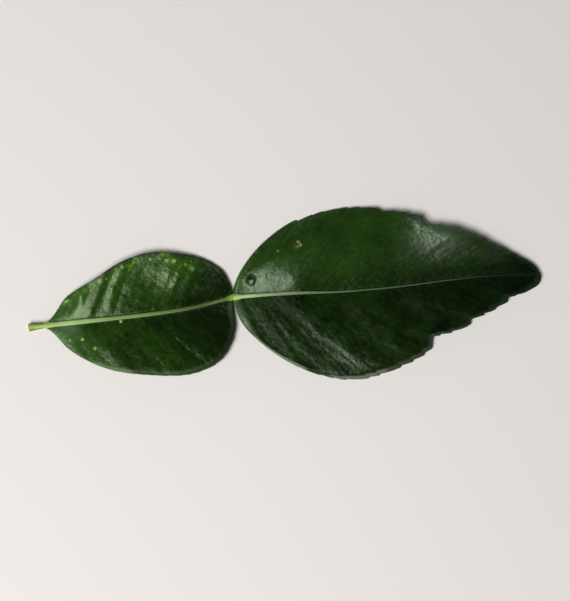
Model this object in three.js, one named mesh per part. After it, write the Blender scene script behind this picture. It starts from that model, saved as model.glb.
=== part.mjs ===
// One kaffir lime leaf, picked and lying on its underside. It is a double leaf: a leaf blade, and behind
// it a petiole with wings almost as broad as the blade, which the blade parts from at a natural joint.
//
// Millimetres. While the leaf is drawn, X runs from the cut end of the petiole to the tip of the blade,
// Y goes across the leaf and Z = 0 is the surface that it lies on. At the end the whole leaf is moved so
// that the origin is the centre of its footprint.
//
// Each of the two pieces is a loft of closed rings. A ring starts at the midrib, runs along a side vein
// to one margin, comes back underneath, and does the same on the other side.

import * as THREE from "three";

// ---- Driving dimensions -------------------------------------------------------------------------------

const LEAF_LENGTH = 125; // from the cut end to the tip
const JOINT_X = 50; // where the blade parts from the petiole
const JOINT_GAP = 0.3; // clearance between the two pieces
const STALK_LENGTH = 5.2; // bare stalk, before the wings begin
const LAMINA_THICKNESS = 0.36;
const EDGE_BEVEL = 0.4; // how far in from the margin the full thickness starts
const VEIN_BOW = 0.05; // how much a side vein bends, as a share of its length
const SURFACE_Z = 0;

// ---- Small helpers ------------------------------------------------------------------------------------

const lerp = THREE.MathUtils.lerp;
const smoothstep = THREE.MathUtils.smoothstep;

const curveThrough = (points) =>
  new THREE.CatmullRomCurve3(
    points.map((p) => new THREE.Vector3(...p)),
    false,
    "centripetal",
  );

// A size that changes along the leaf, from a few [x, value] stations with smooth steps between them.
const alongLeaf = (stations) => (x) => {
  const next = stations.findIndex(([station]) => station > x);
  if (next === 0) return stations[0][1];
  if (next < 0) return stations[stations.length - 1][1];
  const [x0, v0] = stations[next - 1];
  const [x1, v1] = stations[next];
  return lerp(v0, v1, smoothstep(x, x0, x1));
};

// ---- The two pieces -----------------------------------------------------------------------------------

// rib: the midrib, as points of the lamina's mid-height along it.
// tip: where the rings close to a point. Without one, the last ring is a face of its own.
// margins: the two edges from base to tip, 1 on the +Y side and -1 on the other; Z is how high each lifts.
// ribLead, ribGather: how the side veins leave the midrib. A lead of 1 is evenly; with less of it, they
// gather towards the base, and all the more with a higher gather.
// dome: how far each half of the lamina arches up (or sags, below zero) between midrib and margin.
// crest: where the arch is highest. Near 1, the half rises like one side of a V and rolls down at its edge.
// veins: where the side veins of each half leave the midrib along X, and how high the lamina swells
// between that vein and the next.
// fullness: below 1, these pillows are full and meet in narrow grooves; above 1, they are peaked.
// waves: gentle warps of the lamina. Each rises along its own direction.
// tooth: the blunt teeth of the margin: their spacing and depth, and at which shares of the margin they
// start and are at their full depth.
// notches: deeper nicks in the margin, where they are along X, how deep, and how far the edge takes to
// recover beyond them.

const PETIOLE = {
  rings: 78,
  rib: [
    [0, 0.2, 0.86],
    [6, 0.3, 1.1],
    [14, 0.3, 1.3],
    [28, 0.4, 1.3],
    [40, 1.0, 1.5],
    [JOINT_X, 2.5, 1.5],
  ],
  ribHalfWidth: alongLeaf([
    [0, 0.95],
    [2.5, 1],
    [7, 0.68],
    [25, 0.52],
    [45, 0.46],
    [47.5, 0.55],
    [49.4, 0.92],
  ]),
  ridge: alongLeaf([
    [4, 0.85],
    [10, 0.3],
    [44, 0.22],
    [48, 0.6],
  ]),
  keel: alongLeaf([
    [4, 0.85],
    [9, 1.15],
    [44, 0.85],
    [48, 0.75],
  ]),
  margins: {
    1: [
      [0, 1.15, 0.86],
      [STALK_LENGTH, 1.2, 1.05],
      [9.3, 6.3, 0.8],
      [17.5, 10.4, 2.6],
      [23.6, 13.6, 2.5],
      [30, 15.2, 2.3],
      [36, 14.8, 1.9],
      [44.2, 12.3, 0.8],
      [48.2, 8.9, 0.9],
      [49.4, 6, 1.0],
      [JOINT_X, 3.35, 1.5],
    ],
    "-1": [
      [0, -0.75, 0.86],
      [STALK_LENGTH, -0.65, 1.0],
      [9, -5.8, 1.5],
      [17.5, -11.5, 1.6],
      [28, -14.3, 1.5],
      [39, -15, 1.4],
      [46.3, -12, 1.2],
      [49.7, -6, 1.3],
      [49.85, -0.8, 1.4],
      [JOINT_X, 1.65, 1.5],
    ],
  },
  dome: {
    1: alongLeaf([
      [5, 0],
      [13, 0.1],
      [18, 0],
      [25, -0.2],
      [34, -0.4],
      [42, -0.5],
      [48, 0],
    ]),
    "-1": alongLeaf([
      [5, 0],
      [11, 0.9],
      [20, 1.5],
      [30, 1.65],
      [38, 1.6],
      [48, 0.2],
    ]),
  },
  crest: { 1: 0.42, "-1": 0.95 },
  ribLead: 0.6,
  ribGather: 2.4,
  veins: {
    1: [
      [8.6, 0.2],
      [11.5, 0.23],
      [16.2, 0.27],
      [20.4, 0.1],
      [24.4, 0.07],
      [28.2, 0.1],
      [31.4, 0.15],
      [34.4, 0.13],
      [38, 0.07],
      [41, 0.04],
      [45, 0.03],
      [48, 0],
    ],
    "-1": [
      [9, 0.05],
      [13, 0.05],
      [18, 0.06],
      [22, 0.07],
      [26.5, 0.05],
      [30.5, 0.1],
      [34.5, 0.03],
      [39, 0.03],
      [44, 0.02],
      [48, 0],
    ],
  },
  fullness: { 1: 1.8, "-1": 1.2 },
  waves: [
    { x: 34, y: 8.5, turn: 35, rise: 0.35, run: 4, breadth: 5 },
    { x: 12.6, y: 4.5, turn: 30, rise: 0.25, run: 2.5, breadth: 4 },
  ],
  tooth: { spacing: 2.9, depth: { 1: 0.12, "-1": 0.18 }, start: 0.15, full: 1 },
  notches: [],
};

const BLADE_X = JOINT_X + JOINT_GAP;
const TIP = [LEAF_LENGTH, 0.1, 1.1];
const BLADE = {
  rings: 104,
  tip: TIP,
  rib: [
    [BLADE_X, 2.5, 1.5],
    [57, 2.3, 1.75],
    [65, 1.9, 1.8],
    [76, 1.15, 0.95],
    [90, 0.95, 0.64],
    [103, 1.3, 0.8],
    [114, 1.2, 1.0],
    TIP,
  ],
  ribHalfWidth: alongLeaf([
    [BLADE_X, 0.92],
    [52.5, 0.5],
    [60, 0.38],
    [75, 0.24],
    [100, 0.15],
    [124, 0.08],
  ]),
  ridge: alongLeaf([
    [BLADE_X, 0.6],
    [53.5, 0.25],
    [90, 0.16],
    [118, 0.04],
  ]),
  keel: alongLeaf([
    [BLADE_X, 0.75],
    [54, 0.85],
    [90, 0.75],
    [104, 0.4],
    [120, 0.12],
  ]),
  margins: {
    1: [
      [BLADE_X, 3.3, 1.5],
      [50.9, 6, 1.3],
      [53.4, 9.8, 1.6],
      [58.6, 14.9, 0.9],
      [67, 19.7, SURFACE_Z],
      [80, 21.4, 0.6],
      [94.5, 18.7, 2.5],
      [108, 12.9, 2.9],
      [118, 6.9, 1.7],
      [123.8, 2.5, 1.2],
      TIP,
    ],
    "-1": [
      [BLADE_X, 1.7, 1.5],
      [51.5, -3.8, 1.6],
      [57.8, -11.3, 1.8],
      [67, -17.6, 1.0],
      [78, -20.7, SURFACE_Z],
      [90, -18.4, 0.2],
      [99, -14.2, 0.5],
      [109, -8.9, 0.8],
      [119, -4.4, 1.0],
      [124.4, -1.7, 1.1],
      TIP,
    ],
  },
  dome: {
    1: alongLeaf([
      [BLADE_X, 0],
      [62, 1.8],
      [70, 1.8],
      [80, 0.5],
      [90, -0.1],
      [100, -0.5],
      [120, 0],
    ]),
    "-1": alongLeaf([
      [BLADE_X, 0],
      [54, 0.2],
      [60, 1.1],
      [68, 1.8],
      [76, 2.1],
      [84, 1.9],
      [98, 0.9],
      [112, 0.4],
      [120, 0.1],
    ]),
  },
  crest: { 1: 0.47, "-1": 0.92 },
  ribLead: 0.1,
  ribGather: 2.6,
  veins: {
    1: [
      [53.5, 0.05],
      [60.5, 0.05],
      [67.5, 0.06],
      [74.5, 0.05],
      [81.5, 0.05],
      [88.5, 0.05],
      [95.5, 0.05],
      [102.5, 0.04],
      [109.5, 0.03],
      [116.5, 0],
    ],
    "-1": [
      [54.2, 0.11],
      [60.4, 0.2],
      [69.2, 0.23],
      [76.4, 0.07],
      [83, 0.06],
      [89.6, 0.1],
      [96.5, 0.04],
      [103.5, 0.04],
      [110.5, 0.03],
      [116.5, 0],
    ],
  },
  fullness: { 1: 1.2, "-1": 1.3 },
  waves: [
    { x: 58.8, y: 4.8, turn: 15, rise: 0.7, run: 6.2, breadth: 4.5 },
    { x: 64.6, y: 3.6, turn: 10, rise: 0.17, run: 3.2, breadth: 2.6 },
    { x: 99.5, y: 12.5, turn: 8, rise: 1.1, run: 8, breadth: 4.3 },
  ],
  tooth: { spacing: 4.1, depth: { 1: 0.3, "-1": 0.4 }, start: 0.09, full: 0.6 },
  notches: [
    { side: 1, x: 88, depth: 0.4, reach: 5 },
    { side: 1, x: 98.4, depth: 1.8, reach: 8 },
    { side: -1, x: 99.6, depth: 3.2, reach: 7 },
    { side: -1, x: 107.4, depth: 0.8, reach: 4 },
    { side: -1, x: 117.1, depth: 0.9, reach: 4 },
  ],
};

// ---- Margins ------------------------------------------------------------------------------------------

const TOOTH_CREST = 0.86; // where on a tooth its steep side begins
const TOOTH_FULLNESS = 1.5;
const TOOTH_DRIFT = 0.22; // how uneven the spacing is, in teeth
const DRIFT_WAVE = 0.61; // radians of that unevenness in a millimetre of margin
const TIP_CALM = 0.04; // last share of the margin, where the teeth die away
const NOTCH_STEP = 0.9; // length of the abrupt side of a notch, as a share of its depth
const NOTCH_EASE = 1.4;

// A blunt saw tooth that leans to the tip: it starts pulled in, fills out, and then drops to the next one.
function toothInset(phase) {
  const within = phase - Math.floor(phase);
  const drop = smoothstep(within, TOOTH_CREST, 1);
  return lerp(Math.pow(1 - within, TOOTH_FULLNESS), 1, drop);
}

// How far the margin is pulled in at a distance along it.
function marginInset(piece, side, along, length, x) {
  const { spacing, depth, start, full } = piece.tooth;
  const share = along / length;
  const size = depth[side] * smoothstep(share, start, full) * smoothstep(1 - share, 0, TIP_CALM);
  const phase = along / spacing + TOOTH_DRIFT * Math.sin(along * DRIFT_WAVE + side);
  let inset = size * toothInset(phase);
  for (const notch of piece.notches) {
    if (notch.side !== side) continue;
    const past = x - notch.x;
    const recovered = THREE.MathUtils.clamp(1 - past / notch.reach, 0, 1);
    const cut = smoothstep(past, -NOTCH_STEP * notch.depth, 0);
    inset += notch.depth * cut * Math.pow(recovered, NOTCH_EASE);
  }
  return inset;
}

// The point of a margin at a share of its length, with its teeth.
function marginPoint(piece, side, share) {
  const curve = piece.marginCurves[side];
  const point = curve.getPointAt(share);
  const tangent = curve.getTangentAt(share);
  const inset = marginInset(piece, side, share * curve.getLength(), curve.getLength(), point.x);
  const level = Math.hypot(tangent.x, tangent.y);
  point.x += (side * tangent.y * inset) / level;
  point.y -= (side * tangent.x * inset) / level;
  point.z = Math.max(SURFACE_Z, point.z);
  return point;
}

// ---- One ring -----------------------------------------------------------------------------------------

const COLUMNS = 8; // on each side of the midrib
const RIB_COLUMNS = 2; // of those, on the round of the midrib
const STALK_RATIO = 1.2; // a half up to this many times as broad as the midrib is a bare stalk,
const LAMINA_RATIO = 4; // and from here on it is lamina
const MOST_BEVEL = 0.4; // as a share of a narrow half
const LEAST_SLANT = 0.3; // sine of the smallest angle between a side vein and the midrib

// Where the columns of a ring stand between the midrib (0) and the margin (1). The inner ones follow the
// round of the midrib, the rest are spread over the lamina, and the last but one is the edge's bevel.
function columnShares(ribShare, reach) {
  const lamina = smoothstep(1 / ribShare, STALK_RATIO, LAMINA_RATIO);
  const bevel = 1 - Math.min(EDGE_BEVEL / reach, MOST_BEVEL);
  return Array.from({ length: COLUMNS + 1 }, (_, i) => {
    const onStalk = Math.sin((Math.PI / 2) * (i / COLUMNS));
    const onRib = ribShare * Math.sin((Math.PI / 2) * (i / RIB_COLUMNS));
    const onLamina = lerp(ribShare, bevel, (i - RIB_COLUMNS) / (COLUMNS - RIB_COLUMNS - 1));
    const onLeaf = i <= RIB_COLUMNS ? onRib : Math.min(onLamina, 1);
    return i === COLUMNS ? 1 : lerp(onStalk, onLeaf, lamina);
  });
}

const RISE_POWER = 1.35; // 1 would be straight up from the midrib to the crest

// A lopsided arch from 0 at the midrib, over 1 at its crest, to 0 at the margin.
function arch(t, crest) {
  if (t < crest) return 1 - Math.pow((crest - t) / crest, RISE_POWER);
  return 1 - Math.pow((t - crest) / (1 - crest), 2);
}

const PILLOW_ROOM = [2, 14]; // the quilting grows with the breadth of a half, from the first to the second
const OUTER_SWELL = 1.2; // above 1, the -Y pillows are fullest nearer to the margin

// How the height of a pillow is spread from the midrib (0) to the margin (1).
const pillowSpread = {
  1: (t) => 1 - Math.pow(2 * t - 1, 4),
  "-1": (t) => Math.sin(Math.PI * Math.pow(t, OUTER_SWELL)),
};

// Height of the quilting: zero on each side vein, full between two of them.
function pillowHeight(piece, side, ribX, reach, t) {
  const veins = piece.veins[side];
  const next = veins.findIndex(([x]) => x > ribX);
  if (next < 1) return 0;
  const [start, height] = veins[next - 1];
  const within = (ribX - start) / (veins[next][0] - start);
  const swell = height * Math.pow(Math.sin(Math.PI * within), piece.fullness[side]);
  return swell * smoothstep(reach, ...PILLOW_ROOM) * pillowSpread[side](t);
}

// Height of the warps at a point of one half. Each dies away over its run and its breadth, and none
// crosses the midrib.
function waveHeight(piece, side, x, y) {
  let height = 0;
  for (const wave of piece.waves.filter((warp) => warp.y * side > 0)) {
    const turn = THREE.MathUtils.degToRad(wave.turn);
    const u = ((x - wave.x) * Math.cos(turn) + (y - wave.y) * Math.sin(turn)) / wave.run;
    const v = ((y - wave.y) * Math.cos(turn) - (x - wave.x) * Math.sin(turn)) / wave.breadth;
    height += wave.rise * u * Math.exp(-(u * u + v * v) / 2);
  }
  return height;
}

const LAMINA_ROOM = [1.5, 5]; // a half narrower than this has no warps, and a broader one has them fully
const MARGIN_CALM = 3; // how far in from the margin the warps are at their full height

// The column points of one side of a ring: [top points, bottom points], both from midrib to margin.
function halfRing(piece, share, side) {
  const ribAt = lerp(Math.pow(share, piece.ribGather), share, piece.ribLead);
  const rib = piece.ribCurve.getPointAt(ribAt);
  const margin = marginPoint(piece, side, share);
  const reach = Math.hypot(margin.x - rib.x, margin.y - rib.y);
  const slant = Math.max(Math.abs(margin.y - rib.y) / reach, LEAST_SLANT);
  const halfWidth = Math.min(piece.ribHalfWidth(rib.x) / slant, reach);
  const bow = VEIN_BOW * Math.max(0, reach - halfWidth);
  const middle = new THREE.Vector3().addVectors(rib, margin).multiplyScalar(0.5);
  middle.x -= (bow * Math.abs(margin.y - rib.y)) / reach;
  middle.y += (bow * side * (margin.x - rib.x)) / reach;
  const vein = new THREE.QuadraticBezierCurve3(rib, middle, margin);
  const dome = piece.dome[side](middle.x);
  const ridge = piece.ridge(rib.x);
  const keel = piece.keel(rib.x);
  const top = [];
  const bottom = [];
  for (const t of columnShares(halfWidth / reach, reach)) {
    const point = vein.getPoint(t);
    const acrossRib = Math.min(1, (t * reach) / halfWidth);
    const round = Math.sqrt(1 - acrossRib ** 2);
    const inFromEdge = (1 - t) * reach;
    const bevel = Math.min(1, inFromEdge / EDGE_BEVEL);
    const half = (LAMINA_THICKNESS / 2) * Math.sqrt(1 - (1 - bevel) ** 2);
    const calm = smoothstep(reach, ...LAMINA_ROOM) * smoothstep(inFromEdge, 0, MARGIN_CALM);
    const wave = waveHeight(piece, side, point.x, point.y) * calm;
    const pillow = pillowHeight(piece, side, rib.x, reach, t);
    const z = point.z + dome * arch(t, piece.crest[side]) + (pillow + wave) * (1 - round);
    top.push([point.x, point.y, z + half + ridge * round]);
    bottom.push([point.x, point.y, Math.max(SURFACE_Z, z - half - keel * round)]);
  }
  return [top, bottom];
}

// A closed ring, counter-clockwise as seen from the tip: under the +Y side, and back over the top.
function ring(piece, share) {
  const [topLeft, bottomLeft] = halfRing(piece, share, 1);
  const [topRight, bottomRight] = halfRing(piece, share, -1);
  return [
    ...bottomLeft.slice(0, -1),
    ...topLeft.slice(1).reverse(),
    ...topRight.slice(0, -1),
    ...bottomRight.slice(1).reverse(),
  ];
}

// ---- From rings to a closed solid ----------------------------------------------------------------------

const TIP_GAP = 0.003; // share of a margin left between the last ring and the tip

const ringCentre = (points) =>
  [0, 1, 2].map((axis) => points.reduce((sum, p) => sum + p[axis], 0) / points.length);

function loft(piece) {
  const { rings, tip } = piece;
  const lastShare = tip ? 1 - TIP_GAP : 1;
  const drawn = Array.from({ length: rings }, (_, i) => ring(piece, lastShare * (i / (rings - 1))));
  const around = drawn[0].length;
  const vertices = [...drawn.flat(), ringCentre(drawn[0]), tip ?? ringCentre(drawn[rings - 1])];
  const [startCap, endCap] = [rings * around, rings * around + 1];
  const faces = [];
  for (let i = 0; i < around; i++) {
    const j = (i + 1) % around;
    faces.push([startCap, j, i]);
    faces.push([endCap, (rings - 1) * around + i, (rings - 1) * around + j]);
    for (let r = 0; r < rings - 1; r++) {
      const [a, b] = [r * around, (r + 1) * around];
      faces.push([a + i, a + j, b + j], [a + i, b + j, b + i]);
    }
  }
  const geometry = new THREE.BufferGeometry();
  geometry.setAttribute("position", new THREE.Float32BufferAttribute(vertices.flat(), 3));
  geometry.setIndex(faces.flat());
  geometry.computeVertexNormals();
  return geometry;
}

// ---- The leaf -----------------------------------------------------------------------------------------

const leafGreen = (colour) =>
  new THREE.MeshStandardMaterial({ color: colour, roughness: 0.42, metalness: 0 });

function makePiece(name, piece, colour) {
  piece.ribCurve = curveThrough(piece.rib);
  piece.marginCurves = { 1: curveThrough(piece.margins[1]), "-1": curveThrough(piece.margins[-1]) };
  const mesh = new THREE.Mesh(loft(piece), leafGreen(colour));
  mesh.name = name;
  return mesh;
}

const leaf = new THREE.Group();
leaf.name = "kaffir_lime_leaf";
leaf.add(makePiece("winged_petiole", PETIOLE, "#1f4a16"));
leaf.add(makePiece("leaf_blade", BLADE, "#1b4313"));

const footprint = new THREE.Box3().setFromObject(leaf);
const centre = footprint.getCenter(new THREE.Vector3());
leaf.position.set(-centre.x, -centre.y, -footprint.min.z);

export default leaf;
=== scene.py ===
# %% [markdown]
# # A kaffir lime leaf
#
# This notebook dresses one picked kaffir lime leaf. The plain solids of its two pieces, the blade and the
# winged petiole, come in first as a fixed frame. They say where everything is and how big. Each solid is
# then replaced by a much finer mesh of the same form, with veins, teeth and rolled edges, and painted with
# node materials. A soft light, a pale floor and a camera straight above finish the scene.

# %% Load the frame
import math
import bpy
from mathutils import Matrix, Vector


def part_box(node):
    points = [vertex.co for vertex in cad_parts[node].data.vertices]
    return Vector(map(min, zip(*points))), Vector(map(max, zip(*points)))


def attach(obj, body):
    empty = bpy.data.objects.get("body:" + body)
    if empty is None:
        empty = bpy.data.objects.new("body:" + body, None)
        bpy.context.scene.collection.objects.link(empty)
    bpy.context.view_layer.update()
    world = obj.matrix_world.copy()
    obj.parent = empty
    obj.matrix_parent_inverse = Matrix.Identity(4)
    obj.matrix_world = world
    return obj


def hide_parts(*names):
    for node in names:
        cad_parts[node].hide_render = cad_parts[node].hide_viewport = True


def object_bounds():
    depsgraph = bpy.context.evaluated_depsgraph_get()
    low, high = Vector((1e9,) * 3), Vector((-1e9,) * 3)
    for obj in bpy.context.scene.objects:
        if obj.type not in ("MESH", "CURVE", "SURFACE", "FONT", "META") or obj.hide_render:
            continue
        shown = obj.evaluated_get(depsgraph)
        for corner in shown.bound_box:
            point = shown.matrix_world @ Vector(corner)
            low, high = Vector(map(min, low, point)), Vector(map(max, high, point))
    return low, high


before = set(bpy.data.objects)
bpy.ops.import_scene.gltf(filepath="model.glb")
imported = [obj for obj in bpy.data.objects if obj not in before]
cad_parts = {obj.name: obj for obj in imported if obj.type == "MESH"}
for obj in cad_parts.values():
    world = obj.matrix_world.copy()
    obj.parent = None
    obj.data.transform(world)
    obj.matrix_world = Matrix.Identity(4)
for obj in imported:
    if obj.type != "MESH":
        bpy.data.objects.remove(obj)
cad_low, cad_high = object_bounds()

from types import SimpleNamespace

import bpy
import numpy as np
from mathutils import Vector, noise

print("CAD box, mm:", [round(1000 * side, 2) for side in cad_high - cad_low])

# %% [markdown]
# ## Where the leaf lies
#
# It is easiest to draw a leaf in its own terms: millimetres from the cut end of the stalk towards the tip,
# and across the midrib. The cut end is the lowest X of the petiole's solid, and its middle lies halfway
# between the outermost vertices there, so two numbers from the frame carry every drawn point to its place.

# %% From the leaf's own millimetres to the frame
MM = 0.001
CUT_END_Y = 0.2
CUT_FACE_DEPTH = 0.01
cut_end_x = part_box("winged_petiole")[0].x
stalk_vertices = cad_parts["winged_petiole"].data.vertices
cut_end = [v.co.y for v in stalk_vertices if v.co.x < cut_end_x + CUT_FACE_DEPTH * MM]
LEAF_ORIGIN = np.array([cut_end_x, (max(cut_end) + min(cut_end)) / 2 - CUT_END_Y * MM, 0.0])
print("cut end at, mm:", (LEAF_ORIGIN / MM).round(2))

# %% [markdown]
# ## Curves measured off by their length
#
# The midrib and the two margins are each drawn through a few points. A Catmull-Rom curve passes through
# all of its points, and spacing it by the square root of the distances keeps it from looping where two
# points are close together. Blender's own curves would do as well, but plain arrays can be read at
# thousands of places at once.

# %% A smooth curve through a few points
def lerp(a, b, share):
    return a + (b - a) * share


class Curve:
    """A smooth curve through a few points, read at shares of its length."""

    STEPS = 240
    TANGENT_REACH = 1e-3

    def __init__(self, points):
        p = np.array(points, float)
        p = np.vstack([2 * p[0] - p[1], p, 2 * p[-1] - p[-2]])
        step = np.linalg.norm(np.diff(p, axis=0), axis=1) ** 0.5
        t = np.linspace(0, 1, self.STEPS, endpoint=False)[:, None]
        line = []
        for i in range(1, len(p) - 2):
            a, b, c = step[i - 1], step[i], step[i + 1]
            before = (p[i] - p[i - 1]) / a - (p[i + 1] - p[i - 1]) / (a + b) + (p[i + 1] - p[i]) / b
            after = (p[i + 1] - p[i]) / b - (p[i + 2] - p[i]) / (b + c) + (p[i + 2] - p[i + 1]) / c
            leaving = (2 * t**3 - 3 * t**2 + 1) * p[i] + (t**3 - 2 * t**2 + t) * (before * b)
            line.append(leaving + (3 * t**2 - 2 * t**3) * p[i + 1] + (t**3 - t**2) * (after * b))
        self.points = np.vstack([*line, p[-2:-1]])
        self.run = np.concatenate([[0], np.cumsum(np.linalg.norm(np.diff(self.points, axis=0), axis=1))])
        self.length = self.run[-1]

    def at(self, share):
        where = np.asarray(share) * self.length
        return np.stack([np.interp(where, self.run, axis) for axis in self.points.T], axis=-1)

    def tangent(self, share):
        reach = self.TANGENT_REACH
        ahead = self.at(np.clip(share + reach, 0, 1)) - self.at(np.clip(share - reach, 0, 1))
        return ahead / np.linalg.norm(ahead, axis=-1, keepdims=True)


print("a curve over a hump 10 long and 3 high measures", round(Curve([(0, 0), (5, 3), (10, 0)]).length, 2))

# %% A size that changes along the leaf
def smoothstep(x, low, high):
    t = np.clip((x - low) / (high - low), 0, 1)
    return t * t * (3 - 2 * t)


def along_leaf(*stations):
    """A size that changes along the leaf: (x, value) stations with smooth steps between them."""
    xs, values = np.array(stations, float).T

    def value(x):
        i = np.clip(np.searchsorted(xs, x, side="right") - 1, 0, len(xs) - 2)
        return lerp(values[i], values[i + 1], smoothstep(x, xs[i], xs[i + 1]))

    return value


print("halfway from 1 to 3:", along_leaf((0, 1), (10, 3))(5.0))

# %% [markdown]
# ## The two pieces in numbers
#
# A kaffir lime leaf is two leaves in one: a winged stalk, the petiole, and the blade beyond the joint. Most
# numbers here are those that the solids were built from. Small warps, uneven pillows and a scar are added,
# which are too fine for a plain solid, and some notches, pillows and stretches of the margin are up to a
# millimetre off theirs, nearer to the real leaf. Sizes are in millimetres, and `crest`, `start` and `full`
# are shares of the way.
#
# - `rib` and `margins` are points, with the height of the lamina there. `rib_half_width`, `ridge` and
#   `keel` say how wide the midrib is and how far it stands up and down.
# - `dome` is how far each half arches up between midrib and margin, and `crest` where. On the -Y side the
#   crest is near the margin, so that the half rises like one side of a V and rolls down at its edge.
# - `veins` are the places on the midrib where side veins leave, each with the height of the pillow that
#   the lamina makes between it and the next. `fullness` above 1 keeps the pillows narrow.
# - `rib_lead` and `rib_gather` let the side veins leave the midrib further back than they end.
# - `waves` are warps: a middle, a direction in degrees, a rise, and how far they run and spread.
# - `scars` have a middle, a radius and a rise. `tooth` and `notches` belong to the margin.
# - `grid` counts the rows and columns of the mesh, and `edge_zone` is the strip with the finest columns.

# %% The winged petiole
LEAF_LENGTH = 125
JOINT_X = 50
STALK_LENGTH = 5.2
SIDES = (1, -1)

PETIOLE = {
    "rib": Curve([
        (0, CUT_END_Y, 0.86), (6, 0.3, 1.1), (14, 0.3, 1.3), (28, 0.4, 1.3), (40, 1.0, 1.5),
        (JOINT_X, 2.5, 1.5),
    ]),
    "rib_half_width": along_leaf(
        (0, 0.95), (2.5, 1), (7, 0.68), (25, 0.52), (45, 0.46), (47.5, 0.55), (49.4, 0.92)
    ),
    "ridge": along_leaf((4, 0.85), (10, 0.3), (44, 0.22), (48, 0.6)),
    "keel": along_leaf((4, 0.85), (9, 1.15), (44, 0.85), (48, 0.75)),
    "margins": {
        1: Curve([
            (0, 1.15, 0.86), (STALK_LENGTH, 1.2, 1.05), (9.3, 6.3, 0.8), (17.5, 10.4, 2.6),
            (23.6, 13.6, 2.5), (30, 15.2, 2.3), (36, 14.8, 1.9), (44.2, 12.3, 0.8), (48.2, 8.9, 0.9),
            (49.4, 6, 1.0), (JOINT_X, 3.35, 1.5),
        ]),
        -1: Curve([
            (0, -0.75, 0.86), (STALK_LENGTH, -0.65, 1.0), (9, -5.8, 1.5), (17.5, -11.5, 1.6),
            (28, -14.3, 1.5), (39, -15, 1.4), (46.3, -12, 1.2), (49.7, -6, 1.3), (49.85, -0.8, 1.4),
            (JOINT_X, 1.65, 1.5),
        ]),
    },
    "dome": {
        1: along_leaf((5, 0), (13, 0.1), (18, 0), (25, -0.2), (34, -0.4), (42, -0.5), (48, 0)),
        -1: along_leaf((5, 0), (11, 0.9), (20, 1.5), (30, 1.65), (38, 1.6), (48, 0.2)),
    },
    "crest": {1: 0.42, -1: 0.95},
    "veins": {
        1: [(6, 0), (8.6, 0.2), (12.3, 0.23), (16.7, 0.27), (20.6, 0.04), (24.4, 0.03), (28.2, 0.07),
            (31.4, 0.15), (34.4, 0.13), (38, 0.07), (41, 0.04), (45, 0.03), (48, 0)],
        -1: [(6, 0), (9, 0.05), (13, 0.05), (18, 0.06), (22, 0.07), (26.5, 0.05), (30.5, 0.1),
             (34.5, 0.03), (39, 0.03), (44, 0.02), (48, 0)],
    },
    "fullness": {1: 1.8, -1: 1.2},
    "rib_lead": 0.6,
    "rib_gather": 2.4,
    "waves": [
        (34, 8.5, 35, 0.35, 4, 5), (12.6, 4.5, 30, 0.25, 2.5, 4), (15.3, 2.4, 0, -0.25, 1.6, 1.9),
        (14.2, 5.6, -15, -0.1, 0.8, 1.6), (11.6, 5.6, 70, 0.3, 1.4, 1.8), (18.4, 1.9, 0, -0.12, 1.2, 1.5),
        (26.8, 11.5, 25, -0.2, 2.8, 2.4), (32, 12.8, 25, -0.2, 2.6, 1.8),
    ],
    "scars": [],
    "tooth": {"spacing": 2.9, "depth": {1: 0.12, -1: 0.18}, "start": 0.15, "full": 1},
    "notches": [],
    "grid": {"rows": 230, "columns": 44, "rib_columns": 9, "edge_columns": 12, "edge_zone": 1.2},
}
print("wing margins, mm:", [round(PETIOLE["margins"][side].length, 1) for side in SIDES])

# %% The blade
BLADE_X = JOINT_X + 0.02
TIP = (LEAF_LENGTH, 0.1, 1.1)

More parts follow.
